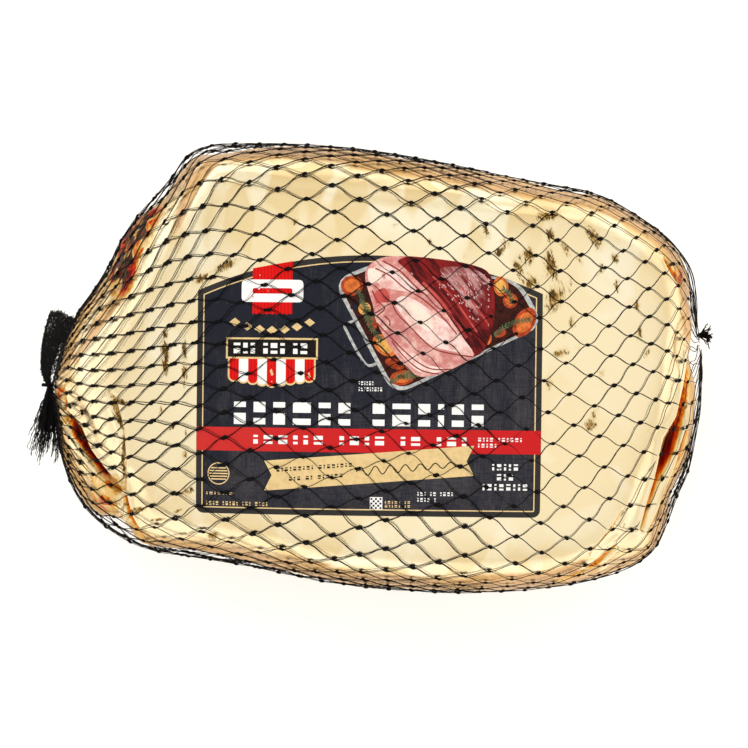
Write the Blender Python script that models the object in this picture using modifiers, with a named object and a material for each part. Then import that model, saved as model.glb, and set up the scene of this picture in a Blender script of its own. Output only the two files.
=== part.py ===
"""Foil-wrapped spiral-cut ham in a black net: the wrapped ham, its label and the net's two gathered ends.

Metres, +Z up. The pack lies on its flat back with the label facing up. X runs along the ham, from the shank
tip at -X to the cut end at +X, and the origin is under the middle of the whole pack, on the surface it rests on.
"""

import math

import bmesh
import bpy
import numpy as np
from mathutils import Matrix, Vector
from mathutils.bvhtree import BVHTree

MM = 0.001

# --- Driving dimensions -----------------------------------------------------------------------------------
PACK_HEIGHT = 132 * MM  # back to crown of the label side
WAIST_HEIGHT = 0.44  # height of the widest outline, as a share of the pack height
SHANK_DROP = 0.30  # how much lower the label side is at the shank tip, as a share of the pack height
CUT_END_DROP = 0.07  # the same at the cut end
SIDE_DROP = 9 * MM  # how far the label side falls away towards its long edges
HALF_LENGTH = 137 * MM
HALF_WIDTH = 94 * MM
CAGE_LEVELS_OF_SUBDIVISION = 2

TOUCH_GAP = 0.4 * MM  # room left between two pieces that touch

LABEL_CENTRE = Vector((-2.3 * MM, -7.2 * MM))
LABEL_WIDTH = 138.5 * MM
LABEL_HEIGHT = 104.3 * MM  # to the top of the arch
LABEL_ARCH_RISE = 14.6 * MM
LABEL_CORNER = 3.0 * MM
LABEL_THICKNESS = 0.6 * MM
LABEL_TILT = math.radians(-0.7)
LABEL_PATCH = 7.0 * MM  # size of the patches that let the label follow the foil
LABEL_LIFT = 0.55 * MM  # height of the label's underside over the foil

# Points on the widest outline, clockwise from the shank tip seen from above the label.
PLAN_OUTLINE_MM = (
    (-134.5, -8.0),  # shank tip, where the net is gathered
    (-131.5, 9.0),
    (-126.0, 22.0),
    (-117.0, 34.0),
    (-108.0, 46.5),
    (-97.5, 65.0),
    (-85.5, 80.0),
    (-79.5, 89.0),
    (-71.0, 94.0),  # upper corner at the shank
    (-36.0, 94.5),
    (0.0, 91.5),
    (38.0, 84.7),
    (72.0, 78.0),
    (93.0, 74.0),
    (107.0, 67.0),  # upper corner at the cut end
    (120.5, 58.0),
    (131.0, 46.5),
    (135.5, 31.0),
    (138.0, -2.0),
    (135.0, -35.0),
    (129.5, -50.0),
    (124.5, -65.0),
    (118.0, -77.0),  # lower corner at the cut end
    (107.0, -84.5),
    (87.0, -90.5),
    (45.0, -94.5),
    (-12.0, -91.0),
    (-48.0, -84.0),
    (-80.0, -79.0),
    (-98.0, -75.5),
    (-113.5, -66.5),  # heel of the shank
    (-126.0, -52.5),
    (-133.0, -32.0),
)

# Each level of the cage: its height as a share of the local top height, and how far it stands in from the
# widest outline along the long sides, at the shank tip and at the flat cut end.
CAGE_LEVELS = (
    {"height": 0.00, "side": 62 * MM, "shank": 84 * MM, "cut": 58 * MM},
    {"height": 0.00, "side": 32 * MM, "shank": 54 * MM, "cut": 24 * MM},
    {"height": 0.13, "side": 9 * MM, "shank": 24 * MM, "cut": 5 * MM},
    {"height": WAIST_HEIGHT, "side": -3.3 * MM, "shank": -6.5 * MM, "cut": -2 * MM},
    {"height": 0.74, "side": 4 * MM, "shank": 5 * MM, "cut": 3 * MM},
    {"height": 0.93, "side": 11 * MM, "shank": 17 * MM, "cut": 12 * MM},
    {"height": 0.99, "side": 27 * MM, "shank": 40 * MM, "cut": 30 * MM},
    {"height": 1.00, "side": 60 * MM, "shank": 84 * MM, "cut": 62 * MM},
)

# Folds of the foil that show as valleys: plan points of the valley's floor, its half width and its depth.
FOLDS = (
    {
        "path_mm": ((128, 12), (124, -12), (119, -26), (113, -50), (106, -66), (99, -80)),
        "half_width": 5.5 * MM,
        "depth": 3.0 * MM,
    },
    {
        "path_mm": ((-125, -20), (-114, -37), (-102, -50)),
        "half_width": 5.0 * MM,
        "depth": 3.0 * MM,
    },
    {
        "path_mm": ((101, -71), (90, -80), (84, -86)),
        "half_width": 5.0 * MM,
        "depth": 2.2 * MM,
    },
)

PLEAT_COUNT = 7  # pleats of the foil over the cut end, running in to the knot
PLEAT_DEPTH = 1.6 * MM

GATHER_SIDES = 16
GATHER_HEIGHT = 0.40 * PACK_HEIGHT  # height of both gathered ends of the net
KNOT_Y = 14 * MM  # where the net is closed over the cut end

# The net's gathered end at the shank, as one bunch: the loop turned back over the tip, the tied waist and the
# fanned tail. Each row is a point of the spine (X, Y, height above GATHER_HEIGHT), the bunch's width, its depth.
TIED_END_MM = (
    ((-124.0, 21.0, 22.0), 2.0, 2.0),
    ((-125.5, 20.5, 21.5), 8.0, 6.0),
    ((-129.0, 18.0, 19.0), 12.0, 9.0),
    ((-133.0, 12.0, 14.0), 13.0, 9.5),
    ((-135.5, 5.0, 8.5), 12.0, 8.5),
    ((-137.0, -2.0, 3.5), 8.0, 7.0),
    ((-137.5, -6.5, 0.5), 5.5, 5.5),  # the tie
    ((-138.0, -9.5, -1.0), 5.5, 5.5),
    ((-138.6, -14.0, -2.5), 8.5, 7.0),
    ((-139.4, -21.0, -4.0), 10.0, 7.0),
    ((-140.6, -29.0, -6.0), 10.0, 6.0),
    ((-141.5, -36.0, -7.0), 8.5, 5.0),
    ((-142.0, -39.5, -7.5), 3.0, 2.0),
)
KNOT_MM = (
    ((138.0, 14.0, 0.0), 3.0, 3.0),
    ((139.0, 14.0, 0.0), 8.5, 7.5),
    ((140.5, 14.2, 0.3), 9.5, 8.0),
    ((142.3, 14.5, 0.7), 8.0, 6.0),
    ((143.6, 14.7, 1.0), 3.0, 2.5),
)

FOIL_COLOUR = (0.80, 0.64, 0.34, 1.0)
LABEL_COLOUR = (0.022, 0.024, 0.034, 1.0)
NET_COLOUR = (0.012, 0.012, 0.013, 1.0)


# --- Scene and materials ----------------------------------------------------------------------------------
def clear_scene():
    for old in list(bpy.data.objects):
        bpy.data.objects.remove(old, do_unlink=True)


def make_material(name, colour, roughness, metallic):
    material = bpy.data.materials.new(name)
    material.use_nodes = True
    shader = material.node_tree.nodes["Principled BSDF"]
    shader.inputs["Base Color"].default_value = colour
    shader.inputs["Roughness"].default_value = roughness
    shader.inputs["Metallic"].default_value = metallic
    return material


def make_object(name, mesh, collection, material):
    made = bpy.data.objects.new(name, mesh)
    collection.objects.link(made)
    made.data.materials.append(material)
    return made


# --- The wrapped ham --------------------------------------------------------------------------------------
def outside_ring(targets):
    """The ring of cage points whose rounded curve passes through the targets."""
    count = len(targets)
    rounding = np.eye(count) * 4 / 6
    for i in range(count):
        rounding[i, (i + 1) % count] = rounding[i, i - 1] = 1 / 6
    return [Vector(point) for point in np.linalg.solve(rounding, np.array(targets))]


def ease(value, low, high):
    """0 at low, 1 at high, smooth between."""
    t = min(max((value - low) / (high - low), 0.0), 1.0)
    return t * t * (3 - 2 * t)


def top_height(x, y):
    """Height of the label side over the plan point."""
    towards_shank = ease(-x, 30 * MM, HALF_LENGTH + 14 * MM)
    towards_cut = ease(x, 30 * MM, HALF_LENGTH)
    share = 1 - SHANK_DROP * towards_shank - CUT_END_DROP * towards_cut
    return PACK_HEIGHT * share - SIDE_DROP * (y / HALF_WIDTH) ** 2


def inset_at(level, point):
    """How far in the level stands at this point of the outline."""
    shank = ease(-point.x, 60 * MM, HALF_LENGTH)
    cut = ease(point.x, 95 * MM, 128 * MM)
    return level["side"] + (level["shank"] - level["side"]) * shank + (level["cut"] - level["side"]) * cut


def cage_point(level, outline_point):
    inwards = 1 - inset_at(level, outline_point) / outline_point.length
    x, y = outline_point * inwards
    height = level["height"] * top_height(x, y)
    return Vector((x, y, height))


def wrapped_ham_cage(outline):
    """The coarse cage: one ring of points for each level, drawn up from the flat back to the label side."""
    cage = bmesh.new()
    bmesh.ops.create_circle(cage, segments=len(outline), radius=HALF_WIDTH)
    ring = list(cage.verts)
    edges = list(cage.edges)
    for vertex, point in zip(ring, outline):
        vertex.co = cage_point(CAGE_LEVELS[0], point)
    bmesh.ops.contextual_create(cage, geom=edges)
    for level in CAGE_LEVELS[1:]:
        drawn = bmesh.ops.extrude_edge_only(cage, edges=edges)["geom"]
        new_verts = [item for item in drawn if isinstance(item, bmesh.types.BMVert)]
        edges = [item for item in drawn if isinstance(item, bmesh.types.BMEdge)]
        partner = {}
        for vertex in new_verts:
            below = [edge.other_vert(vertex) for edge in vertex.link_edges]
            partner[next(other for other in below if other in ring)] = vertex
        ring = [partner[old] for old in ring]
        for vertex, point in zip(ring, outline):
            vertex.co = cage_point(level, point)
    bmesh.ops.contextual_create(cage, geom=edges)
    bmesh.ops.recalc_face_normals(cage, faces=cage.faces)
    return cage


def distance_to_path(point, path):
    """Plan distance from the point to the nearest place on the path."""
    nearest = math.inf
    for a, b in zip(path, path[1:]):
        along = (b - a).normalized()
        reach = min(max((point - a).dot(along), 0.0), (b - a).length)
        nearest = min(nearest, (point - a - along * reach).length)
    return nearest


def press_folds(mesh):
    """Presses the foil's folds and the pleats of the cut end into the surface."""
    paths = [[Vector(p) * MM for p in fold["path_mm"]] for fold in FOLDS]
    for vertex in mesh.vertices:
        normal = vertex.normal.copy()
        plan = vertex.co.xy
        push = 0.0
        if normal.z > 0.2:
            for fold, path in zip(FOLDS, paths):
                share = distance_to_path(plan, path) / fold["half_width"]
                push += fold["depth"] * math.exp(-share * share)
        if normal.x > 0.75:
            angle = math.atan2(vertex.co.z - GATHER_HEIGHT, plan.y - KNOT_Y)
            push += PLEAT_DEPTH * (0.5 + 0.5 * math.cos(PLEAT_COUNT * angle)) * ease(normal.x, 0.75, 0.95)
        vertex.co -= normal * push


def make_wrapped_ham(collection, material):
    outline = outside_ring([Vector(p) * MM for p in PLAN_OUTLINE_MM])
    cage = wrapped_ham_cage(outline)
    mesh = bpy.data.meshes.new("wrapped_ham_cage")
    cage.to_mesh(mesh)
    cage.free()
    soft = make_object("wrapped_ham_cage", mesh, collection, material)
    subdivision = soft.modifiers.new("Rounded", "SUBSURF")
    subdivision.levels = CAGE_LEVELS_OF_SUBDIVISION
    subdivision.render_levels = CAGE_LEVELS_OF_SUBDIVISION
    graph = bpy.context.evaluated_depsgraph_get()
    finished = bpy.data.meshes.new_from_object(soft.evaluated_get(graph))
    finished.name = "wrapped_ham"
    bpy.data.objects.remove(soft)
    press_folds(finished)
    ham = bpy.data.objects.new("wrapped_ham", finished)
    collection.objects.link(ham)
    ham.data.shade_smooth()
    return ham


# --- The label --------------------------------------------------------------------------------------------
def label_outline():
    """The label's outline about its own centre: square below with small round corners, arched above."""
    half = LABEL_WIDTH / 2
    bottom = -LABEL_HEIGHT / 2
    shoulder = LABEL_HEIGHT / 2 - LABEL_ARCH_RISE
    radius = (half**2 + LABEL_ARCH_RISE**2) / (2 * LABEL_ARCH_RISE)
    opening = math.asin(half / radius)
    corner_steps, arch_steps = 4, 20
    points = []
    for side, start in ((-1, math.pi), (1, 1.5 * math.pi)):
        centre = Vector((side * (half - LABEL_CORNER), bottom + LABEL_CORNER))
        for step in range(corner_steps + 1):
            angle = start + 0.5 * math.pi * step / corner_steps
            points.append(centre + LABEL_CORNER * Vector((math.cos(angle), math.sin(angle))))
    for step in range(arch_steps + 1):
        angle = opening * (1 - 2 * step / arch_steps)
        rise = radius * (math.cos(angle) - math.cos(opening))
        points.append(Vector((radius * math.sin(angle), shoulder + rise)))
    return points


def make_label(collection, material, ham):
    """A thin sheet cut to the outline, divided into patches and laid on the foil."""
    sheet = bmesh.new()
    sheet.faces.new([sheet.verts.new((*point, 0.0)) for point in label_outline()])
    for axis, span in ((Vector((1, 0, 0)), LABEL_WIDTH), (Vector((0, 1, 0)), LABEL_HEIGHT)):
        cuts = math.ceil(span / LABEL_PATCH)
        for i in range(1, cuts):
            geometry = [*sheet.verts, *sheet.edges, *sheet.faces]
            place = axis * (i / cuts - 0.5) * span
            bmesh.ops.bisect_plane(sheet, geom=geometry, dist=1e-7, plane_co=place, plane_no=axis)
    bmesh.ops.remove_doubles(sheet, verts=sheet.verts, dist=0.01 * MM)
    bmesh.ops.rotate(sheet, verts=sheet.verts, matrix=Matrix.Rotation(LABEL_TILT, 3, "Z"))
    bmesh.ops.translate(sheet, verts=sheet.verts, vec=(*LABEL_CENTRE, 2 * PACK_HEIGHT))

    surface = BVHTree.FromObject(ham, bpy.context.evaluated_depsgraph_get())
    for vertex in sheet.verts:
        foil = surface.ray_cast(vertex.co, Vector((0, 0, -1)))[0]
        vertex.co.z = foil.z + LABEL_LIFT
    mesh = bpy.data.meshes.new("label")
    sheet.to_mesh(mesh)
    sheet.free()
    label = make_object("label", mesh, collection, material)
    thickness = label.modifiers.new("Thickness", "SOLIDIFY")
    thickness.thickness = LABEL_THICKNESS
    thickness.offset = 1.0
    return label


# --- The gathered ends of the net -------------------------------------------------------------------------
def make_bunch(name, spine, collection, material):
    """A bunch of netting: oval rings threaded on a spine of (point, width, depth, direction of the width)."""
    bunch = bmesh.new()
    ring, edges = [], []
    for i, (point, width, depth) in enumerate(spine):
        before = spine[max(i - 1, 0)][0]
        after = spine[min(i + 1, len(spine) - 1)][0]
        along = (after - before).normalized()
        across = along.cross(Vector((0, 0, 1))).normalized()
        over = across.cross(along)
        places = []
        for k in range(GATHER_SIDES):
            angle = 2 * math.pi * k / GATHER_SIDES
            places.append(point + across * (width / 2 * math.cos(angle)) + over * (depth / 2 * math.sin(angle)))
        if not ring:
            bmesh.ops.create_circle(bunch, segments=GATHER_SIDES, radius=width)
            ring, edges = list(bunch.verts), list(bunch.edges)
            bmesh.ops.contextual_create(bunch, geom=edges)
        else:
            drawn = bmesh.ops.extrude_edge_only(bunch, edges=edges)["geom"]
            edges = [item for item in drawn if isinstance(item, bmesh.types.BMEdge)]
            partner = {}
            for vertex in (item for item in drawn if isinstance(item, bmesh.types.BMVert)):
                others = [edge.other_vert(vertex) for edge in vertex.link_edges]
                partner[next(other for other in others if other in ring)] = vertex
            ring = [partner[old] for old in ring]
        for vertex, place in zip(ring, places):
            vertex.co = place
    bmesh.ops.contextual_create(bunch, geom=edges)
    bmesh.ops.recalc_face_normals(bunch, faces=bunch.faces)
    mesh = bpy.data.meshes.new(name)
    bunch.to_mesh(mesh)
    bunch.free()
    made = make_object(name, mesh, collection, material)
    made.data.shade_smooth()
    return made


def rest_against(piece, ham, towards):
    """Moves the piece along the direction until it stands the touching gap from the ham."""
    surface = BVHTree.FromObject(ham, bpy.context.evaluated_depsgraph_get())
    clearances = []
    for vertex in piece.data.vertices:
        start = vertex.co - towards * HALF_LENGTH
        struck = surface.ray_cast(start, towards)[0]
        if struck:
            clearances.append((struck - vertex.co).dot(towards))
    shift = towards * (min(clearances) - TOUCH_GAP)
    for vertex in piece.data.vertices:
        vertex.co += shift


def spine_of(rows):
    lift = Vector((0, 0, GATHER_HEIGHT))
    return [(Vector(point) * MM + lift, width * MM, depth * MM) for point, width, depth in rows]


def centre_on_origin(pieces):
    """Moves the whole pack so that the middle of its footprint is on the origin."""
    corners = [vertex.co for piece in pieces for vertex in piece.data.vertices]
    middle_x = (min(c.x for c in corners) + max(c.x for c in corners)) / 2
    middle_y = (min(c.y for c in corners) + max(c.y for c in corners)) / 2
    for piece in pieces:
        piece.data.transform(Matrix.Translation((-middle_x, -middle_y, 0)))


def main():
    clear_scene()
    collection = bpy.data.collections.new("foil_wrapped_ham")
    bpy.context.scene.collection.children.link(collection)
    foil = make_material("gold_foil", FOIL_COLOUR, 0.25, 1.0)
    print_ink = make_material("label_stock", LABEL_COLOUR, 0.6, 0.0)
    net = make_material("black_net", NET_COLOUR, 0.7, 0.0)

    ham = make_wrapped_ham(collection, foil)
    label = make_label(collection, print_ink, ham)
    tied_end = make_bunch("net_gather", spine_of(TIED_END_MM), collection, net)
    rest_against(tied_end, ham, Vector((1, 0, 0)))
    knot = make_bunch("end_knot", spine_of(KNOT_MM), collection, net)
    rest_against(knot, ham, Vector((-1, 0, 0)))
    centre_on_origin([ham, label, tied_end, knot])


main()
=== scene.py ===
"""A half ham wrapped in gold foil, with its printed label, in a black knotted net."""

import math
import random

import bmesh
import bpy
import numpy as np
from mathutils import Matrix, Vector, noise
from mathutils.bvhtree import BVHTree


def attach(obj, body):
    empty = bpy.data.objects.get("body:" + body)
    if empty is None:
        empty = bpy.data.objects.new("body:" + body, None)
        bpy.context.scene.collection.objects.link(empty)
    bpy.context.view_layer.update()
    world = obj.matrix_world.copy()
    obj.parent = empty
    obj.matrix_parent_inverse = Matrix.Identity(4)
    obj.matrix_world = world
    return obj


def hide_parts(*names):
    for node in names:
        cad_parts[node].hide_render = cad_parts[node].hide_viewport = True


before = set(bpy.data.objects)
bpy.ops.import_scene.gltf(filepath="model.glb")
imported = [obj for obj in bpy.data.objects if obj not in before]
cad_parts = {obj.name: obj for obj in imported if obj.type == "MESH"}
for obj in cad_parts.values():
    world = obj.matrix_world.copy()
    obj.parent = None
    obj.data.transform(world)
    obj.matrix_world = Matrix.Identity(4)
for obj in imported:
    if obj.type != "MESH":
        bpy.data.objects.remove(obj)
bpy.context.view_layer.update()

MM = 0.001
UP = Vector((0, 0, 1))
random.seed(11)


def linear(red, green, blue):
    """A colour of 0 to 255 parts as the linear values that shaders take."""
    parts = [part / 255 for part in (red, green, blue)]
    return (*[p / 12.92 if p <= 0.04045 else ((p + 0.055) / 1.055) ** 2.4 for p in parts], 1.0)


GOLD = linear(248, 232, 193)
GOLD_SHADED = linear(243, 218, 166)
GOLD_HIGHLIGHT = linear(253, 244, 216)
OLIVE_PINCH_REFLECTION = linear(62, 38, 6)
CHARCOAL = linear(40, 38, 38)
NAVY = linear(27, 29, 40)
BAND_RED = linear(198, 28, 30)
TAB_RED = linear(222, 14, 8)
CREAM_GOLD = linear(238, 206, 148)
WHITE = linear(248, 246, 242)
NET_BLACK = linear(7, 6, 7)


# --- Shader maths -----------------------------------------------------------------------------------------
class Wire:
    """A node's output. Arithmetic on it adds Math nodes to its tree."""

    def __init__(self, socket):
        self.socket = socket

    @classmethod
    def node(cls, tree, kind, settings=None, inputs=None, output=0):
        """Adds a node: its settings first, then the values or links of its sockets."""
        made = tree.nodes.new(kind)
        for name, value in (settings or {}).items():
            if name == "stops":
                ramp = made.color_ramp
                while len(ramp.elements) < len(value):
                    ramp.elements.new(0.5)
                for element, (place, colour) in zip(ramp.elements, value):
                    element.position, element.color = place, colour
            else:
                setattr(made, name, value)
        for key, value in (inputs or {}).items():
            if isinstance(value, cls):
                tree.links.new(value.socket, made.inputs[key])
            else:
                made.inputs[key].default_value = value
        return cls(made.outputs[output])

    def maths(self, operation, *others, clamp=False):
        inputs = dict(enumerate((self, *others)))
        return Wire.node(self.socket.id_data, "ShaderNodeMath", {"operation": operation, "use_clamp": clamp}, inputs)

    def __add__(self, other):
        return self.maths("ADD", other)

    def __radd__(self, other):
        return self.maths("ADD", other)

    def __sub__(self, other):
        return self.maths("SUBTRACT", other)

    def __rsub__(self, other):
        return Wire.node(self.socket.id_data, "ShaderNodeMath", {"operation": "SUBTRACT"}, {0: other, 1: self})

    def __mul__(self, other):
        return self.maths("MULTIPLY", other)

    def __rmul__(self, other):
        return self.maths("MULTIPLY", other)

    def __truediv__(self, other):
        return self.maths("DIVIDE", other)

    def __pow__(self, other):
        return self.maths("POWER", other)

    def or_more(self, other):
        return self.maths("MAXIMUM", other)

    def step(self, low, high):
        """0 below low and 1 above high, smooth between."""
        settings = {"interpolation_type": "SMOOTHSTEP"}
        inputs = {"Value": self, "From Min": low, "From Max": high}
        return Wire.node(self.socket.id_data, "ShaderNodeMapRange", settings, inputs)


class Finish:
    """A material under construction."""

    def __init__(self, name):
        self.material = bpy.data.materials.new(name)
        self.material.use_nodes = True
        self.tree = self.material.node_tree
        self.shader = self.tree.nodes["Principled BSDF"]

    def node(self, kind, settings=None, inputs=None, output=0):
        return Wire.node(self.tree, kind, settings, inputs, output)

    def place(self):
        return self.node("ShaderNodeTexCoord", output="Object")

    def stretched(self, place, location=(0, 0, 0), turn=0.0, size=(1, 1, 1)):
        """The place as seen from a pattern with this location, turn about Z and size."""
        inputs = {"Vector": place, "Location": location, "Rotation": (0, 0, turn), "Scale": size}
        return self.node("ShaderNodeMapping", {"vector_type": "TEXTURE"}, inputs)

    def noise(self, place, scale, detail=3.0, roughness=0.5, distortion=0.0):
        inputs = {"Vector": place, "Scale": scale, "Detail": detail, "Roughness": roughness, "Distortion": distortion}
        return self.node("ShaderNodeTexNoise", None, inputs, "Fac")

    def mix(self, share, first, second):
        inputs = {"Factor": share, 6: first, 7: second}
        return self.node("ShaderNodeMix", {"data_type": "RGBA"}, inputs, 2)

    def bump(self, height, distance, strength=1.0, normal=None):
        inputs = {"Height": height, "Distance": distance, "Strength": strength}
        if normal:
            inputs["Normal"] = normal
        return self.node("ShaderNodeBump", None, inputs)

    def set(self, **sockets):
        for name, value in sockets.items():
            socket = self.shader.inputs[name.replace("_", " ")]
            if isinstance(value, Wire):
                self.tree.links.new(value.socket, socket)
            else:
                socket.default_value = value
        return self


# --- Camera, floor and light ------------------------------------------------------------------------------
PACK_SHIFT_X = 2.5 * MM  # the tied net end reaches further than the knot, so the foil's middle is off the origin


def set_up_studio():
    scene = bpy.context.scene
    scene.view_settings.view_transform = "Standard"
    camera = bpy.data.objects.new("camera", bpy.data.cameras.new("camera"))
    scene.collection.objects.link(camera)
    camera.location = (2.3 * MM, -2.5 * MM, 1.465)
    camera.data.lens = 161
    camera.data.clip_end = 20
    scene.camera = camera

    floor_mesh = bmesh.new()
    bmesh.ops.create_grid(floor_mesh, x_segments=1, y_segments=1, size=4)
    mesh = bpy.data.meshes.new("floor")
    floor_mesh.to_mesh(mesh)
    floor_mesh.free()
    floor = bpy.data.objects.new("floor", mesh)
    scene.collection.objects.link(floor)
    paper = Finish("floor_paper").set(Base_Color=(0.9, 0.9, 0.9, 1), Roughness=0.9, Emission_Color=(1, 1, 1, 1), Emission_Strength=0.3)
    mesh.materials.append(paper.material)

    world = bpy.data.worlds.new("studio")
    scene.world = world
    world.use_nodes = True
    tree = world.node_tree
    direction = Wire.node(tree, "ShaderNodeTexCoord", output="Generated")
    height = Wire.node(tree, "ShaderNodeSeparateXYZ", None, {0: direction}, "Z")
    light = 0.92 + 0.14 * height.step(0.1, 0.95)
    inputs = {"Factor": height.step(0.0, 0.8), 6: (1.0, 0.93, 0.8, 1), 7: (1.0, 0.995, 0.985, 1)}
    tint = Wire.node(tree, "ShaderNodeMix", {"data_type": "RGBA"}, inputs, 2)
    background = tree.nodes["Background"]
    tree.links.new(tint.socket, background.inputs["Color"])
    tree.links.new(light.socket, background.inputs["Strength"])

    lamp = bpy.data.lights.new("overhead", "AREA")
    lamp.shape, lamp.size, lamp.size_y, lamp.energy = "RECTANGLE", 1.2, 0.8, 7
    overhead = bpy.data.objects.new("overhead", lamp)
    overhead.location = (-0.3, 0.9, 1.7)
    overhead.rotation_euler = (Vector((0, 0, 0.06)) - overhead.location).to_track_quat("-Z", "Y").to_euler()
    overhead.visible_glossy = False
    scene.collection.objects.link(overhead)


# --- Helpers for meshes -----------------------------------------------------------------------------------
def into_object(name, shape, material, slot, *nodes, smooth=True):
    """Turns a bmesh into a piece that rides on the pack."""
    mesh = bpy.data.meshes.new(name)
    shape.to_mesh(mesh)
    shape.free()
    return finish_piece(name, mesh, material, slot, *nodes, smooth=smooth)


def finish_piece(name, mesh, material, slot, *nodes, smooth=True):
    mesh.name = name
    piece = bpy.data.objects.new(name, mesh)
    bpy.context.scene.collection.objects.link(piece)
    mesh.materials.clear()
    mesh.materials.append(material)
    if smooth:
        mesh.shade_smooth()
    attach(piece, "root")
    if nodes:
        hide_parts(*nodes)
    return piece


def ease(value, low, high):
    """0 at low, 1 at high, smooth between; for arrays too."""
    t = np.clip((value - low) / (high - low), 0, 1)
    return t * t * (3 - 2 * t)


def positions(shape):
    return np.array([vertex.co for vertex in shape.verts])


def normals(shape):
    shape.normal_update()
    return np.array([vertex.normal for vertex in shape.verts])


def put_back(shape, places):
    for vertex, place in zip(shape.verts, places):
        vertex.co = place


def tree_of(shape):
    return BVHTree.FromBMesh(shape)


# --- The foil ---------------------------------------------------------------------------------------------
BODY_MIDDLE = Vector((2 * MM, 0, 60 * MM))
BODY_BOX = Vector((232 * MM, 160 * MM, 104 * MM))
FOIL_CUTS = 86
FOIL_INSET = 1.3 * MM  # the CAD skin stands for the foil and the net, so the foil lies this far inside it

# Folds of the foil: the plan line of each fold's bottom in millimetres, with its half width and how deep its painted
# colour goes there (1 is the darkest red, a painted reflection of the foil in itself), then how deep it is pressed.
FOLDS = {
    "cut_end_fold": (3.2, (
        (137.5, 22, 1.0, 0.45), (136, 11, 1.8, 0.5), (133.5, 0, 2.2, 0.56), (130.5, -11, 2.2, 0.6), (127.5, -21, 2.0, 0.72),
        (123.5, -30, 3.0, 1.0), (121, -37, 2.4, 0.9), (118, -46, 1.6, 0.58), (114.5, -56, 1.3, 0.45), (111.5, -65, 0.9, 0.35))),
    "cut_end_pleat": (1.0, ((130, -26, 0.6, 0.3), (125.5, -40, 0.9, 0.42), (119, -56, 0.7, 0.4), (114, -68, 0.5, 0.3))),
    "shank_fold": (3.0, ((-127, -18, 1.0, 0.5), (-122, -27, 2.6, 1.0), (-116, -35, 1.5, 0.9), (-109, -43, 1.3, 0.8), (-102, -50, 0.9, 0.5))),
    "shank_crease": (0.9, ((-104.5, -12.5, 1.2, 0.0), (-100.5, -25, 0.8, 0.0), (-99.2, -38, 0.6, 0.12), (-99.8, -50, 0.5, 0.3))),
    "shank_tip": (1.0, ((-128, -9, 0.9, 0.3), (-126.5, -16, 0.8, 0.4), (-127.5, -23, 0.7, 0.35))),
    "heel_fold": (2.4, ((-99.5, -53, 0.7, 0.5), (-98.5, -62, 1.4, 0.62), (-96.5, -68, 1.8, 0.45), (-93, -76, 1.2, 0.4))),
    "corner_crease": (1.3, ((100, -73, 0.9, 0.35), (93, -80, 1.2, 0.5), (87, -84, 0.9, 0.35), (79, -88, 0.8, 0.4), (76, -94, 0.9, 0.6))),
    "corner_pleat": (0.9, ((103, -58, 0.8, 0.0), (99, -66, 1.4, 0.0), (91, -75, 0.9, 0.0))),
    "shoulder_nick": (1.4, ((121, 44, 1.0, 0.4), (124, 39, 1.4, 0.6), (127.5, 35, 1.6, 0.9))),
    "neck_crease": (0.35, ((-60, 78, 1.8, 0.0), (-30, 72, 2.0, 0.0), (12, 68, 2.0, 0.0), (50, 66, 1.8, 0.0), (84, 62, 1.6, 0.0))),
}
# Hollows of the foil that the net spans: middle and half sizes of each in millimetres, then its depth.
DENTS = (
    ((-62, 95, 60), (17, 9, 60), 3.2), ((-92, 76, 60), (9, 9, 60), 4.0), ((84, 80, 60), (10, 8, 60), 2.4),
    ((-108, -71, 55), (8, 7, 60), 7.5), ((-76, -82, 50), (26, 8, 60), 2.6), ((142, 10, 60), (8, 28, 60), 5.0),
    ((130, -52, 60), (8, 9, 60), 2.2), ((20, 92, 60), (16, 6, 60), 1.4),
)
# Places where crumpled foil stands proud under the net, in the same order.
BULGES = (((-100, 49, 66), (13, 20, 45), 2.6), ((-111, -55, 76), (9, 9, 26), 2.0), ((-131, -9, 66), (7, 8, 20), 2.0))
# Crumpled patches, where the foil mirrors itself and its red is painted reflection: middle and half sizes in
# millimetres, then how red the painted reflection goes.
CRUMPLES = (
    ((-100, 50, 80), (14, 26, 22), 1.0), ((-130, -8, 70), (7, 6, 20), 0.5), ((-109, -55, 84), (10, 9, 22), 0.52),
    ((-95, -75, 50), (6, 6, 26), 0.42), ((128, 36, 92), (4, 5, 12), 0.8), ((138, -30, 56), (5, 26, 30), 0.4),
)


# Facets that face away from the light: plan lines as for the folds, with the share of tan instead of redness.
TAN_FACETS = (
    ((-52, 89, 1.5, 0.7), (-62, 86, 4, 0.9), (-71, 76, 5, 1.0), (-77, 60, 3, 0.9), (-82, 48, 1.5, 0.5)),
    ((-96, 38, 2, 0.7), (-104, 27, 3, 0.9), (-112, 17, 3.5, 0.9), (-121, 4, 2.5, 0.8)),
    ((20, 86, 2, 0.7), (40, 82, 3.5, 0.9), (58, 77, 2, 0.7)),
)
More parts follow.
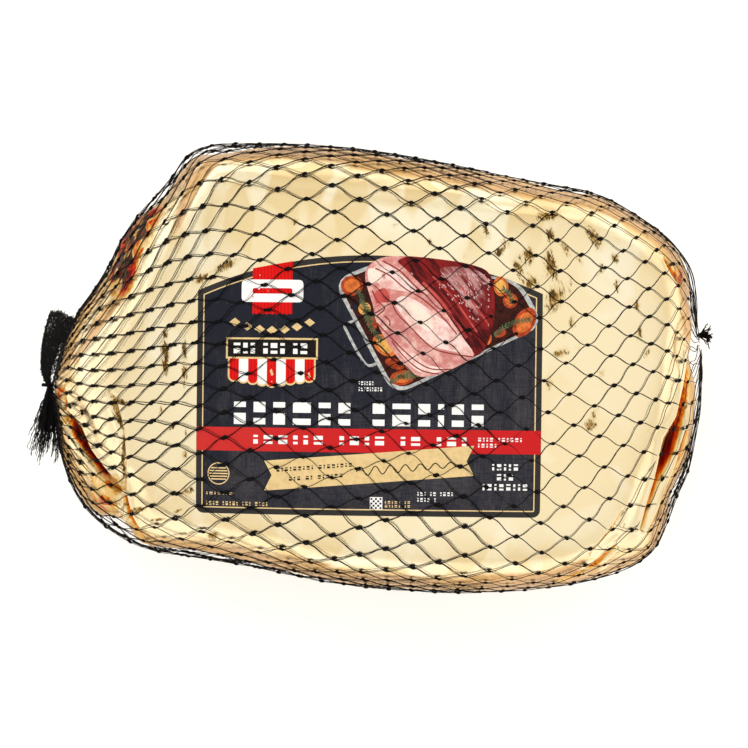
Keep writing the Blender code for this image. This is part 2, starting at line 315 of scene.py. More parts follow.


# Small crumpled marks where the foil is pinched, painted olive as a reflection of dark surroundings in the crinkles:
# plan place, half length, half width (mm), turn (degrees).
PINCHES = (
    (72, 61, 4.5, 2, 8), (47, 54, 3.5, 1.5, 82), (73, 53, 3, 1.5, 100), (91, 52, 4.5, 2, 120), (99, 44, 2, 1.5, 100),
    (64, 45, 3.5, 2, 85), (73, 41, 6, 2, 98), (60, 40, 4, 1.5, 105), (82, 34, 4, 1, 92), (100, 33, 3, 1, 80), (65, 34, 3, 2.5, 30),
    (75, 28, 5, 3, 60), (108, 25, 2, 1, 95), (81, 17, 4.5, 1, 68), (109, 14, 3, 1, 85), (77, 6, 3.5, 1.5, 15), (94, -2, 2, 1, 60),
    (73, -5, 4, 1, 75), (91, -18, 3, 1, 60), (89, -23, 2.5, 2, 30), (55, 50, 3, 1, 78), (84, 44, 3, 1, 110), (40, 47, 3, 1, 70),
    (79, 48, 3, 1, 95), (52, 46, 2.5, 1, 60), (93, 39, 3, 1, 75), (68, 21, 3, 1, 100), (112, 6, 2, 1, 60), (86, 10, 2, 1, 70),
    (-57, 41, 5.5, 1.5, 22), (-67, 36, 3, 1.5, 30), (-82, 7, 4.5, 1.5, 100), (-82, 14, 2, 1, 90), (-74, 7, 5, 1, 88),
    (-82, 1, 3.5, 1.5, 100), (-74, -2, 5, 1, 90), (-73, -50, 3, 1, 25), (-63, -68, 2.5, 1.5, 10), (-103, -18, 8, 1, 108),
    (-88, -14, 3, 0.5, 30), (-84, -18, 3, 0.5, 75), (-79, -24, 2.5, 0.5, 50), (-94, -58, 3, 1, 10), (-86, -62, 4, 0.5, 5),
    (-77, -58, 3, 0.5, 15), (20, -74, 2, 0.5, 80), (-30, 58, 2, 0.5, 70), (10, 56, 2, 0.5, 60), (24, 49, 2.5, 0.5, 80),
    (-100, -36, 13, 0.5, 91), (-100, -14, 3, 1, -20), (-74, -35, 2, 1, 80), (-73, -25, 2, 0.5, 85), (-81, -30, 1.5, 0.5, 20),
)


def in_pinches(plan):
    """For each plan point (mm): 1 in the middle of a pinch, 0 at its rim, down to -1 well outside."""
    inside = np.full(len(plan), -1.0)
    for x, y, length, width, turn in PINCHES:
        c, s = math.cos(math.radians(turn)), math.sin(math.radians(turn))
        away = plan - (x, y)
        along, across = away @ (c, s), away @ (-s, c)
        inside = np.maximum(inside, 1 - np.hypot(along / (1.1 * length), across / (1.15 * width)))
    return inside


def distance_to_line(plan, line):
    """For each plan point (mm): its distance to the line in half widths of the line there, and the line's redness."""
    nearest = np.full(len(plan), np.inf)
    redness = np.zeros(len(plan))
    for (ax, ay, aw, ar), (bx, by, bw, br) in zip(line, line[1:]):
        along = np.array((bx - ax, by - ay))
        share = np.clip(((plan - (ax, ay)) @ along) / (along @ along), 0, 1)
        foot = np.array((ax, ay)) + share[:, None] * along
        gap = np.hypot(*(plan - foot).T) / (aw + (bw - aw) * share)
        redness = np.where(gap < nearest, ar + (br - ar) * share, redness)
        nearest = np.minimum(nearest, gap)
    return nearest, redness


def near_folds(plan, reach):
    return np.min([distance_to_line(plan, line)[0] for _, line in FOLDS.values()], axis=0) < reach


def foil_blank():
    """A fine even skin laid on the pack's solid and smoothed, before any wrinkle is pressed in."""
    solid = bmesh.new()
    solid.from_mesh(bpy.data.objects["wrapped_ham"].data)
    hull = tree_of(solid)
    solid.free()
    skin = bmesh.new()
    bmesh.ops.create_cube(skin, size=1.0)
    bmesh.ops.subdivide_edges(skin, edges=skin.edges, cuts=FOIL_CUTS, use_grid_fill=True)
    for vertex in skin.verts:
        way = Vector(a * b for a, b in zip(vertex.co, BODY_BOX)).normalized()
        vertex.co = hull.ray_cast(BODY_MIDDLE, way)[0]
    for _ in range(10):
        bmesh.ops.smooth_vert(skin, verts=skin.verts, factor=0.5, use_axis_x=True, use_axis_y=True, use_axis_z=True)
    places, outward = positions(skin), normals(skin)
    push = -FOIL_INSET
    for middle, halves, height in BULGES:
        push += height * MM * np.exp(-(((places / MM - middle) / halves) ** 2).sum(axis=1))
    put_back(skin, places + outward * np.reshape(push, (-1, 1)))
    for fineness in (1, 2):
        places = positions(skin) / MM
        plan = places[:, :2]
        facing = normals(skin)[:, 2] > 0.05
        chosen = near_folds(plan, 3.0) & facing
        if fineness == 1:
            chosen |= (in_pinches(plan) > -0.3) & facing
            for middle, halves, _ in CRUMPLES:
                chosen |= ((((places - middle) / halves) ** 2).sum(axis=1) < 1.6)
        edges = [e for e in skin.edges if chosen[e.verts[0].index] and chosen[e.verts[1].index]]
        bmesh.ops.subdivide_edges(skin, edges=edges, cuts=1, use_grid_fill=True)
        skin.verts.index_update()
    print("foil faces", len(skin.faces), sum(len(f.verts) - 2 for f in skin.faces))
    return skin


def press_wrinkles(skin):
    """Presses folds, hollows and broad facets into the foil, and stores what its colours depend on."""
    places = positions(skin)
    outward = normals(skin)
    plan = places[:, :2] / MM
    facing = ease(outward[:, 2], 0.0, 0.35)
    push = np.zeros(len(places))
    redness = np.zeros(len(places))
    # Redness marks where the folds are painted amber to dark red, in place of the foil's reflection of itself.
    for depth, line in FOLDS.values():
        share, red = distance_to_line(plan, line)
        valley = np.exp(-(share**2)) - 0.3 * np.exp(-((share - 1.9) ** 2) / 0.35)
        push += depth * MM * valley * facing
        redness = np.maximum(redness, red * np.exp(-((share / 0.95) ** 4)) * facing)
    for middle, halves, depth in DENTS:
        away = ((places / MM - middle) / halves) ** 2
        push += depth * MM * np.exp(-away.sum(axis=1))
    crumpled = np.zeros(len(places))
    ragged = places / MM + 9 * np.array([noise.noise_vector(Vector(place) * 60) for place in places])
    for middle, halves, red in CRUMPLES:
        away = ((ragged - middle) / halves) ** 2
        crumpled = np.maximum(crumpled, red * np.exp(-(away.sum(axis=1) ** 2)))
    rough = np.array([noise.noise_vector(Vector(place) * 140) for place in places])
    broad = np.array([noise.noise(Vector(place) * 26) for place in places])
    places -= outward * (push - 1.1 * MM * (0.35 - np.abs(broad)))[:, None]
    places += rough * (crumpled * 1.6 * MM)[:, None]
    put_back(skin, places)
    # Where the foil is painted tan as shade: its steep sides above the floor, and the facets that face away from the
    # light.
    steep = (1 - ease(outward[:, 2], 0.08, 0.75)) * ease(places[:, 2], 18 * MM, 52 * MM)
    for line in TAN_FACETS:
        share, tan = distance_to_line(plan, line)
        steep = np.maximum(steep, np.where(outward[:, 2] > 0, 0.9 * tan * np.exp(-(share**4)), 0))
    pinched = np.where(outward[:, 2] > 0.1, in_pinches(plan), -1.0)
    for name, values in (("fold", redness), ("crumpled", crumpled), ("steep", steep), ("pinched", pinched)):
        layer = skin.verts.layers.float.new(name)
        for vertex, value in zip(skin.verts, values):
            vertex[layer] = value


def gold_foil():
    """Thin gold foil: bright and nearly even above with soft painted highlights and shade on its facets, painted tan
    shade down the sides, painted olive reflections in its small pinches, painted red reflections in its folds and
    crumples.
    """
    finish = Finish("gold_foil")
    place = finish.place()
    names = ("fold", "crumpled", "steep", "pinched")
    fold, crumpled, steep, marks = (finish.node("ShaderNodeAttribute", {"attribute_name": name}, None, "Fac") for name in names)
    crumple = finish.noise(finish.stretched(place, turn=math.radians(12), size=(1, 2.8, 1)), 850, 3.0, 0.65, 0.7)
    # Masks for the painted olive reflection in the pinches and the painted tan shade round them.
    pinch_reflection = (marks + (crumple - 0.5) * 3.6).step(0.0, 0.6) * marks.step(-0.45, 0.1)
    pinch_halo_shade = (marks + (crumple - 0.5) * 1.2).step(-0.5, 0.6)

    # Painted reflection on the broad facets: cells and clouds of deeper gold as painted shade, patches of paler gold as
    # painted highlights.
    cloud = finish.noise(place, 16, 2.0, 0.5)
    cells = finish.node("ShaderNodeTexVoronoi", {"feature": "SMOOTH_F1"}, {"Vector": place, "Scale": 24.0, "Smoothness": 0.12}, "Color")
    cell = finish.node("ShaderNodeSeparateXYZ", None, {0: cells}, "X")
    tint = (cloud * 0.9 + cell * 0.55).step(0.35, 1.0)
    colour = finish.mix(tint * 0.55, GOLD, GOLD_SHADED)
    pale = finish.noise(place, 34, 2.0, 0.5, 0.8)
    colour = finish.mix(pale.step(0.56, 0.72) * 0.6, colour, GOLD_HIGHLIGHT)
    # Soft fans of facets, strongest along the back: painted highlights in pale gold and painted shade in darker gold.
    fan_place = finish.stretched(place, turn=math.radians(-8), size=(1, 3.0, 1))
    fan_cells = finish.node("ShaderNodeTexVoronoi", {"feature": "SMOOTH_F1"}, {"Vector": fan_place, "Scale": 95.0, "Smoothness": 0.4}, "Color")
    fan = finish.node("ShaderNodeSeparateXYZ", None, {0: fan_cells}, "Y")
    y = finish.node("ShaderNodeSeparateXYZ", None, {0: place}, "Y")
    where = y.step(32 * MM, 55 * MM).or_more(1 - y.step(-85 * MM, -62 * MM)) * cloud.step(0.35, 0.55)
    colour = finish.mix(fan.step(0.42, 0.8) * where * 0.75, colour, linear(255, 247, 218))
    colour = finish.mix((1 - fan.step(0.2, 0.5)) * where * 0.6, colour, linear(232, 204, 144))

    # Painted shade: tan and brown down the steep sides, where the foil mirrors darker surroundings.
    painted_side_shade = finish.mix(finish.noise(place, 30, 2.0).step(0.4, 0.6), linear(198, 152, 88), linear(208, 166, 122))
    painted_side_shade = finish.mix(finish.noise(place, 90, 3.0, 0.6, 1.0).step(0.52, 0.7), painted_side_shade, linear(140, 92, 42))
    colour = finish.mix((steep + (cell - 0.5) * 0.35 + (crumple - 0.5) * 0.1).step(0.4, 0.7) * 0.85, colour, painted_side_shade)
    # Painted shade: a tan halo round each pinch, then the painted olive reflection in its middle.
    colour = finish.mix(pinch_halo_shade * 0.55, colour, linear(206, 172, 96))
    colour = finish.mix(pinch_reflection * 0.95, colour, finish.mix(crumple.step(0.48, 0.6), linear(146, 108, 40), OLIVE_PINCH_REFLECTION))

    # Painted reflection in the folds: from gold through amber and orange to dark red at their bottoms.
    streak = finish.noise(finish.stretched(place, turn=math.radians(-17), size=(1, 9, 1)), 900, 2.0, 0.5)
    deep = fold + (streak - 0.5) * 0.7 * fold.step(0.05, 0.4)
    ramp = ((0.0, GOLD), (0.2, linear(232, 196, 120)), (0.42, linear(214, 126, 26)), (0.6, linear(176, 56, 6)), (0.82, linear(112, 8, 4)), (1.0, linear(52, 4, 4)))
    colour = finish.mix(fold.step(0.06, 0.22), colour, finish.node("ShaderNodeValToRGB", {"stops": ramp}, {"Fac": deep}))

    # Painted reflection in the crumpled patches: orange, red and near black, with gold facets left among them.
    facets = finish.node("ShaderNodeTexVoronoi", {"feature": "F1"}, {"Vector": place, "Scale": 230.0}, "Color")
    facet = finish.node("ShaderNodeSeparateXYZ", None, {0: facets}, "X")
    jumble = finish.noise(place, 300, 2.0, 0.6, 1.2)
    red = (crumpled * (facet * 0.75 + jumble * 1.15) * (0.3 + 0.7 * facet.step(0.1, 0.3))).step(0.08, 1.05)
    ramp = ((0.0, linear(226, 188, 118)), (0.22, linear(216, 166, 80)), (0.4, linear(204, 134, 34)), (0.56, linear(206, 70, 6)), (0.72, linear(178, 14, 4)), (0.86, linear(110, 4, 2)), (1.0, linear(30, 4, 2)))
    colour = finish.mix((crumpled + (jumble - 0.5) * 0.9).step(0.2, 0.45), colour, finish.node("ShaderNodeValToRGB", {"stops": ramp}, {"Fac": red}))

    fans = finish.node("ShaderNodeTexVoronoi", {"feature": "F1"}, {"Vector": finish.stretched(place, turn=0.4, size=(1, 1.7, 1)), "Scale": 20.0}, "Distance")
    crinkle = finish.noise(place, 240, 3.0, 0.55)
    normal = finish.bump(fans, 3.5 * MM, 0.8)
    normal = finish.bump(finish.noise(place, 60, 2.0, 0.4, 0.8), 1.0 * MM, 0.5, normal)
    normal = finish.bump(crinkle, 0.10 * MM, 0.3, normal)
    normal = finish.bump(crumple * marks.step(-0.3, 0.4) * 0.25 + 3.0 * (jumble + facet * 0.5) * crumpled, 0.5 * MM, 1.0, normal)
    metallic = (1 - 0.15 * steep.step(0.3, 0.9)) * (1 - 0.4 * crumpled.step(0.1, 0.5))
    finish.set(Base_Color=colour, Metallic=metallic, Roughness=0.2 + 0.12 * crinkle + 0.15 * crumpled, Normal=normal)
    finish.set(Specular_Tint=(1.0, 0.8, 0.55, 1), Specular_IOR_Level=0.3)
    return finish.material


# --- The label --------------------------------------------------------------------------------------------
LABEL_MIDDLE = Vector((-2.3 * MM + PACK_SHIFT_X, -7.2 * MM, 0))
LABEL_TURN = Matrix.Rotation(math.radians(-0.7), 4, "Z")
LABEL_HALF_WIDTH = 69.25
LABEL_BOTTOM = -52.15
LABEL_SHOULDER = 37.55
LABEL_ARCH_RISE = 14.6
LABEL_LIFT = 0.45 * MM
PATCH = 4 * MM  # size of the patches that let print follow the curved label


def arched_outline(inset=0.0, corner=3.0):
    """The label's outline in millimetres, or a line this far inside it."""
    half = LABEL_HALF_WIDTH
    radius = (half**2 + LABEL_ARCH_RISE**2) / (2 * LABEL_ARCH_RISE)
    centre = LABEL_SHOULDER + LABEL_ARCH_RISE - radius
    half, radius, bottom, corner = half - inset, radius - inset, LABEL_BOTTOM + inset, max(corner - inset, 0.4)
    opening = math.asin(half / radius)
    points = []
    for side, start in ((-1, math.pi), (1, 1.5 * math.pi)):
        for step in range(7):
            angle = start + math.pi / 12 * step
            points.append((side * (half - corner) + corner * math.cos(angle), bottom + corner + corner * math.sin(angle)))
    for step in range(41):
        angle = opening * (1 - step / 20)
        points.append((radius * math.sin(angle), centre + radius * math.cos(angle)))
    return points


class Print:
    """Everything printed in one ink: flat shapes in label millimetres, laid on the label at a layer of their own."""

    def __init__(self):
        self.shape = bmesh.new()

    def area(self, points, layer, holes=()):
        """A filled outline, with the outlines of its holes."""
        patch = bmesh.new()
        for loop in (points, *holes):
            verts = [patch.verts.new((x * MM, y * MM, 0)) for x, y in loop]
            for a, b in zip(verts, verts[1:] + verts[:1]):
                patch.edges.new((a, b))
        if holes:
            bmesh.ops.triangle_fill(patch, use_beauty=True, use_dissolve=False, edges=patch.edges)
        else:
            bmesh.ops.contextual_create(patch, geom=patch.edges)
        self._lay(patch, layer)

    def _lay(self, patch, layer):
        spots = positions(patch)
        for axis, low, high in ((0, spots[:, 0].min(), spots[:, 0].max()), (1, spots[:, 1].min(), spots[:, 1].max())):
            cuts = math.ceil((high - low) / PATCH)
            way = Vector((1, 0, 0) if axis == 0 else (0, 1, 0))
            for i in range(1, cuts):
                geometry = [*patch.verts, *patch.edges, *patch.faces]
                bmesh.ops.bisect_plane(patch, geom=geometry, dist=1e-7, plane_co=way * (low + (high - low) * i / cuts), plane_no=way)
        bmesh.ops.recalc_face_normals(patch, faces=patch.faces)
        if patch.faces and next(iter(patch.faces)).normal.z < 0:
            bmesh.ops.reverse_faces(patch, faces=patch.faces)
        bmesh.ops.translate(patch, verts=patch.verts, vec=(0, 0, layer))
        mesh = bpy.data.meshes.new("patch")
        patch.to_mesh(mesh)
        patch.free()
        self.shape.from_mesh(mesh)
        bpy.data.meshes.remove(mesh)

    def oval(self, x, y, half_width, half_height, layer, turn=0.0, hole=0.0, sides=28):
        def ring(scale_x, scale_y):
            points = []
            for k in range(sides):
                a = 2 * math.pi * k / sides
                px, py = scale_x * math.cos(a), scale_y * math.sin(a)
                c, s = math.cos(math.radians(turn)), math.sin(math.radians(turn))
                points.append((x + px * c - py * s, y + px * s + py * c))
            return points

        holes = [ring(half_width - hole, half_height - hole)] if hole else []
        self.area(ring(half_width, half_height), layer, holes)

    def box(self, left, bottom, right, top, layer):
        self.area([(left, bottom), (right, bottom), (right, top), (left, top)], layer)

    def stroke(self, points, width, layer):
        """A line of even width through the points."""
        left, right = [], []
        for i, point in enumerate(points):
            before, after = Vector(points[max(i - 1, 0)]), Vector(points[min(i + 1, len(points) - 1)])
            side = (after - before).normalized().orthogonal() * width / 2
            left.append(tuple(Vector(point) + side))
            right.append(tuple(Vector(point) - side))
        self.area(left + right[::-1], layer)

    def lay_on(self, surface, name, material, lift, thickness=0.02 * MM):
        """Moves every shape onto the label and gives it the thickness of a coat of ink."""
        for vertex in self.shape.verts:
            layer = vertex.co.z
            spot = LABEL_TURN @ Vector((*vertex.co.xy, 0)) + LABEL_MIDDLE
            struck = surface.ray_cast(spot + UP, -UP)[0]
            vertex.co = struck + UP * (lift + layer * INK)
        bmesh.ops.solidify(self.shape, geom=self.shape.faces, thickness=thickness)
        bmesh.ops.recalc_face_normals(self.shape, faces=self.shape.faces)
        piece = into_object(name, self.shape, material, "label_paper")
        piece.data.set_sharp_from_angle(angle=math.radians(35))
        return piece


INK = 0.03 * MM  # height of one layer of print
PRINT_GLOSS = 0.12


def label_stock():
    finish = Finish("label_charcoal")
    grain = finish.noise(finish.place(), 1800, 2.0)
    finish.set(Base_Color=finish.mix(grain, CHARCOAL, linear(56, 53, 50)), Roughness=0.55, Specular_IOR_Level=PRINT_GLOSS)
    return finish.material


def ink_coat(name, main, second, scale, low=0.35, high=0.7, roughness=0.5, stretch=(1, 1, 1), turn=0.0, detail=3.0):
    """Matte ink that wavers between two colours, in grains that may be drawn out along one direction."""
    finish = Finish(name)
    grain = finish.noise(finish.stretched(finish.place(), turn=math.radians(turn), size=stretch), scale, detail, 0.6)
    finish.set(Base_Color=finish.mix(grain.step(low, high), main, second), Roughness=roughness, Specular_IOR_Level=PRINT_GLOSS)
    return finish.material


def plain_ink(name, colour, deeper=0.85):
    return ink_coat(name, colour, (*[part * deeper for part in colour[:3]], 1), 500)


def flesh_ink(name, main, second):
    return ink_coat(name, linear(*main), linear(*second), 260, 0.4, 0.68, detail=5.0)


def crust_ink(name, main, second):
    return ink_coat(name, linear(*main), linear(*second), 330, 0.38, 0.62, stretch=(1, 5, 1), turn=38, detail=5.0)


def band_ink():
    """The red band, a little faded towards its shank end."""
    finish = Finish("ink_band_red")
    place = finish.place()
    along = finish.node("ShaderNodeSeparateXYZ", None, {0: place}, "X")
    faded = 1 - along.step(-70 * MM, 10 * MM)
    grain = finish.noise(place, 120, 2.0)
    finish.set(Base_Color=finish.mix((faded * 0.8 + grain * 0.3).step(0.1, 1.1), BAND_RED, linear(200, 46, 42)), Roughness=0.5, Specular_IOR_Level=PRINT_GLOSS)
    return finish.material


def ribbed_ink():
    """Bright red with the fine upright ribs of a woven ribbon."""
    finish = Finish("ink_tab_red")
    place = finish.place()
    along = finish.node("ShaderNodeSeparateXYZ", None, {0: place}, "X")
    rib = (along * (2 * math.pi / (1.35 * MM))).maths("SINE")
    colour = finish.mix(rib.step(-0.2, 0.9), TAB_RED, linear(190, 6, 6))
    finish.set(Base_Color=colour, Roughness=0.45, Specular_IOR_Level=PRINT_GLOSS, Normal=finish.bump(rib, 0.03 * MM))
    return finish.material


def denim_ink():
    """Navy with a worn weave, greyer towards the label's lower right."""
    finish = Finish("label_navy")
    place = finish.place()
    warp = finish.noise(finish.stretched(place, size=(1, 18, 1)), 2600, 1.0)
    weft = finish.noise(finish.stretched(place, size=(14, 1, 1)), 2200, 1.0)
    streaks = finish.noise(finish.stretched(place, size=(1, 6, 1)), 240, 3.0, 0.6)
    worn = finish.noise(place, 30, 3.0, 0.6)
    x, y = (finish.node("ShaderNodeSeparateXYZ", None, {0: place}, axis) for axis in ("X", "Y"))
    greyer = (x * 0.55 - y).step(-30 * MM, 55 * MM)
    shade = worn.step(0.4, 0.75) * 0.3 + (streaks - 0.55) * 0.8 + greyer * 0.42 + (warp * 1.3 + weft - 1.15) * 0.55
    finish.set(Base_Color=finish.mix(shade.step(0.0, 1.0), NAVY, linear(74, 70, 72)), Roughness=0.5, Specular_IOR_Level=PRINT_GLOSS)
    return finish.material


# --- What the label shows ---------------------------------------------------------------------------------
# All of it in label millimetres: fields of colour and plain shapes, with no lettering.
CREST_X = -39
PLAQUE_Y, PLAQUE_HALF_WIDTH, PLAQUE_HALF_HEIGHT, PLAQUE_RIM = 14.5, 18.5, 4.25, 0.75
PAN_CORNERS = ((4, 50), (-15, 42), (10, -4), (70, 25), (60, 43))
HAM_OUTLINE = (
    (-2, 45), (4, 51), (15, 52), (27, 51), (40, 49), (48, 45), (50, 33), (49, 23), (46, 15), (42, 12), (33, 7), (24, 4), (18, 5),
    (11, 12), (4, 23), (1, 33),
)
CUT_EDGE = ((15, 52), (11, 50), (14, 47), (20, 41), (27, 34), (33, 26), (38, 19), (42, 12))
GLAZE_OUTLINE = ((28, 47), (36, 48), (44, 46), (48, 41), (48, 33), (44, 26), (41, 28), (37, 35), (32, 41))
SLICES = (
    (((0, 45), (5, 49), (12, 45), (19, 38), (13, 38), (5, 40)), "palest"),
    (((-1, 46), (1, 47), (4, 45), (4, 42), (0, 41)), "fat"),
    (((2, 37), (6, 39), (8, 35), (6, 31), (3, 32)), "raw"),
    (((2, 32), (8, 33), (14, 27), (19, 20), (15, 17), (8, 19), (3, 25)), "rosy"),
    (((10, 33), (13, 36), (19, 34), (26, 29), (34, 23), (42, 13), (34, 14), (26, 16), (20, 20), (14, 27)), "palest"),
    (((12, 33), (15, 34), (21, 31), (26, 26), (24, 22), (18, 26), (14, 30)), "fat"),
    (((9, 18), (14, 19), (20, 19), (26, 15), (33, 13), (41, 12), (33, 8), (25, 8), (17, 12)), "rosy"),
    (((11, 15), (17, 14), (23, 9), (30, 7), (24, 5), (18, 7)), "palest"),
)
SLICE_EDGES = (
    ((9, 33), (11, 29), (16, 24), (21, 19), (26, 15), (34, 13), (42, 12)),
    ((3, 25), (8, 20), (13, 15), (19, 10), (25, 7), (33, 7)),
    ((9, 18), (12, 14), (17, 9), (22, 6), (28, 5)),
    ((2, 47), (8, 44), (14, 39), (21, 35), (28, 29), (35, 21)),
    ((5, 50), (12, 46), (17, 41), (23, 36)),
    ((1, 38), (3, 34), (6, 31), (3, 28)), ((6, 28), (8, 26), (8, 24)),
)
TRAY_MARGIN = 6
FRUIT = (  # edge of the tray, share along it, half width, half height, turn, then the inks from the rim in
    (1, 0, 4.5, 4, 0, "brick tangerine"), (1, 0.25, 2.5, 2.5, 0, "honey"), (1, 0.4, 2, 3, 15, "brick"),
    (1, 0.65, 5.5, 3.5, -40, "tangerine honey"), (1, 0.85, 4, 2, -20, "brick"), (2, 0, 5, 3, 10, "brick tangerine"),
    (2, 0.7, 1.5, 2.5, -10, "tangerine"), (2, 0.8, 2.5, 1.5, 20, "brick"), (3, 0, 4, 6.5, -30, "brick tangerine"),
    (3, 0.6, 3, 3, 20, "brick tangerine"), (4, 0, 3, 4, 10, "tangerine honey"),
)
SPRIGS = (  # edge of the tray, where the sprig starts and ends along it, how far it bows
    (1, 0.25, 0.6, 1.5), (1, 0.15, 0.4, -1), (2, 0, 0.2, 1.5), (2, -0.1, 0.1, -1), (2, 0.75, 1.05, -2),
    (3, 0.5, 0.95, 1.5), (1, 0.05, 0.2, -1.5),
)
HANDLE = ((0.35, 0), (0.35, 4), (0.4, 4.5), (0.6, 4.5), (0.7, 3.5), (0.72, 0))  # share along the pan's edge, reach


def beside(corners, edge, share, off=0.0):
    """A point along one edge of an outline, off to its outer side."""
    a, b = Vector(corners[edge]), Vector(corners[(edge + 1) % len(corners)])
    way = (b - a).normalized()
    return a.lerp(b, share) + Vector((way.y, -way.x)) * off


def rounded_corners(corners, radius, steps=5):
    """A closed outline through the corners, each of them rounded off."""
    points = []
    for i, corner in enumerate(corners):
        here = Vector(corner)
        before, after = Vector(corners[i - 1]), Vector(corners[(i + 1) % len(corners)])
        start = here + (before - here).normalized() * radius
        end = here + (after - here).normalized() * radius
        for k in range(steps + 1):
            t = k / steps
            points.append(tuple(start.lerp(here, t).lerp(here.lerp(end, t), t)))
    return points


def soft_line(points, closed=False, steps=4):
    """A smooth line through the points."""
    knots = np.array(points, float)
    count = len(knots)
    last = count if closed else count - 1
    line = []
    for i in range(last):
        if closed:
            before, a, b, after = (knots[(i + k) % count] for k in (-1, 0, 1, 2))
        else:
            before, a, b, after = (knots[min(max(i + k, 0), count - 1)] for k in (-1, 0, 1, 2))
        for t in np.arange(steps) / steps:
            line.append(a + t * (b - before) / 2 + t * t * (before - 2.5 * a + 2 * b - after / 2) + t**3 * (1.5 * (a - b) + (after - before) / 2))
    if not closed:
        line.append(knots[-1])
    return [tuple(point) for point in line]


BLOCK_GAP, WORD_GAP = 1.3, 2.4  # in parts of a block
LINE_SPACING = 1.6  # heights of a block from one row to the next


def row_width(rhythm, part):
    return part * sum(int(mark) + BLOCK_GAP if mark != "-" else WORD_GAP for mark in rhythm)


def blocks(ink, left, middle, height, part, rhythm, layer, slope=0.0):
    """A row of plain slotted blocks in place of words: each digit is a block that many parts wide, - is a gap."""
    x = left
    for k, mark in enumerate(rhythm):
        if mark == "-":
            x += WORD_GAP * part
            continue
        wide, base = int(mark) * part, middle - height / 2 + slope * (x - left)
        slot = base + height * (0.28 if k % 2 else 0.5)
        ink.box(x, base, x + wide, slot, layer)
        ink.box(x, slot + height * 0.26, x + wide, base + height, layer)
        x += wide + BLOCK_GAP * part


def leaf_points(base, tip, width):
    """A slim leaf from base to tip."""
    a, b = Vector(base), Vector(tip)
    side = (b - a).normalized().orthogonal() * width / 2
    right = [a.lerp(b, t) + side * math.sin(math.pi * t) ** 0.8 for t in (0.2, 0.45, 0.7)]
    left = [a.lerp(b, t) - side * math.sin(math.pi * t) ** 0.8 for t in (0.7, 0.45, 0.2)]
    return [tuple(p) for p in (a, *right, b, *left)]


def sprig(ink, points, layer, length=2.3, width=0.75):
    """A stem with a pair of slim leaves every few millimetres."""
    ink.stroke(points, 0.35, layer)
    for a, b in zip(points, points[1:]):
        start, along = Vector(a), Vector(b) - Vector(a)
        count = max(2, round(along.length / 1.3))
        for k in range(count):
            spot = start + along * (k / count)
            for side in (-1, 1):
                way = Matrix.Rotation(side * 0.6, 2) @ along.normalized()
                ink.area(leaf_points(spot, spot + way * length, width), layer + 1)


def print_crest(inks):
    """A red tab with a plain plate, and below it a row of diamonds, a dark plaque and a scalloped awning."""
    pinked = [(CREST_X + 8 - k, 28 + (0.5 if k % 2 else 0.0)) for k in range(17)]
    inks["bright_red"].area([*pinked, (CREST_X - 8, 46.5), (CREST_X + 8, 49.5)], 3)
    plate = [(CREST_X - 12.4, 33), (CREST_X + 12.4, 33), (CREST_X + 12.4, 42), (CREST_X - 12.4, 42)]
    inks["white"].area(rounded_corners(plate, 2.0), 4)
    inks["bright_red"].area(rounded_corners([(CREST_X - 8, 36.4), (CREST_X + 8, 36.4), (CREST_X + 8, 38.6), (CREST_X - 8, 38.6)], 0.9), 5)

    for k in range(-3, 4):
        x, y = CREST_X + 5 * k, 21.8 + 0.35 * k * k
        inks["straw"].area([(x - 2.2, y), (x, y - 1.7), (x + 2.2, y), (x, y + 1.7)], 3)
    for rim, ink, layer in ((0, "straw", 6), (PLAQUE_RIM, "dark", 7)):
        half, tall = PLAQUE_HALF_WIDTH - rim, PLAQUE_HALF_HEIGHT - rim
        inks[ink].box(CREST_X - half, PLAQUE_Y - tall, CREST_X + half, PLAQUE_Y + tall, layer)
    rhythm, part = "322-232-23", 0.9
    blocks(inks["white"], CREST_X - row_width(rhythm, part) / 2, PLAQUE_Y, PLAQUE_HALF_HEIGHT, part, rhythm, 8)

    count = 9
    stripe = 34 / count
    for k in range(count):
        middle = CREST_X + (k - (count - 1) / 2) * stripe
        hem = 3.4 - 0.55 * (4 - abs(k - 4))
        for grow, ink, layer in ((0.7, "straw", 3), (0.0, "white" if k % 2 else "bright_red", 4)):
            half = stripe / 2 + grow
            scallop = [(middle + half * math.cos(t), hem - half * math.sin(t)) for t in np.linspace(0, math.pi, 9)]
            top = PLAQUE_Y - PLAQUE_HALF_HEIGHT
            inks[ink].area([(middle - half, top), (middle + half, top), *scallop], layer + 0.1 * k)


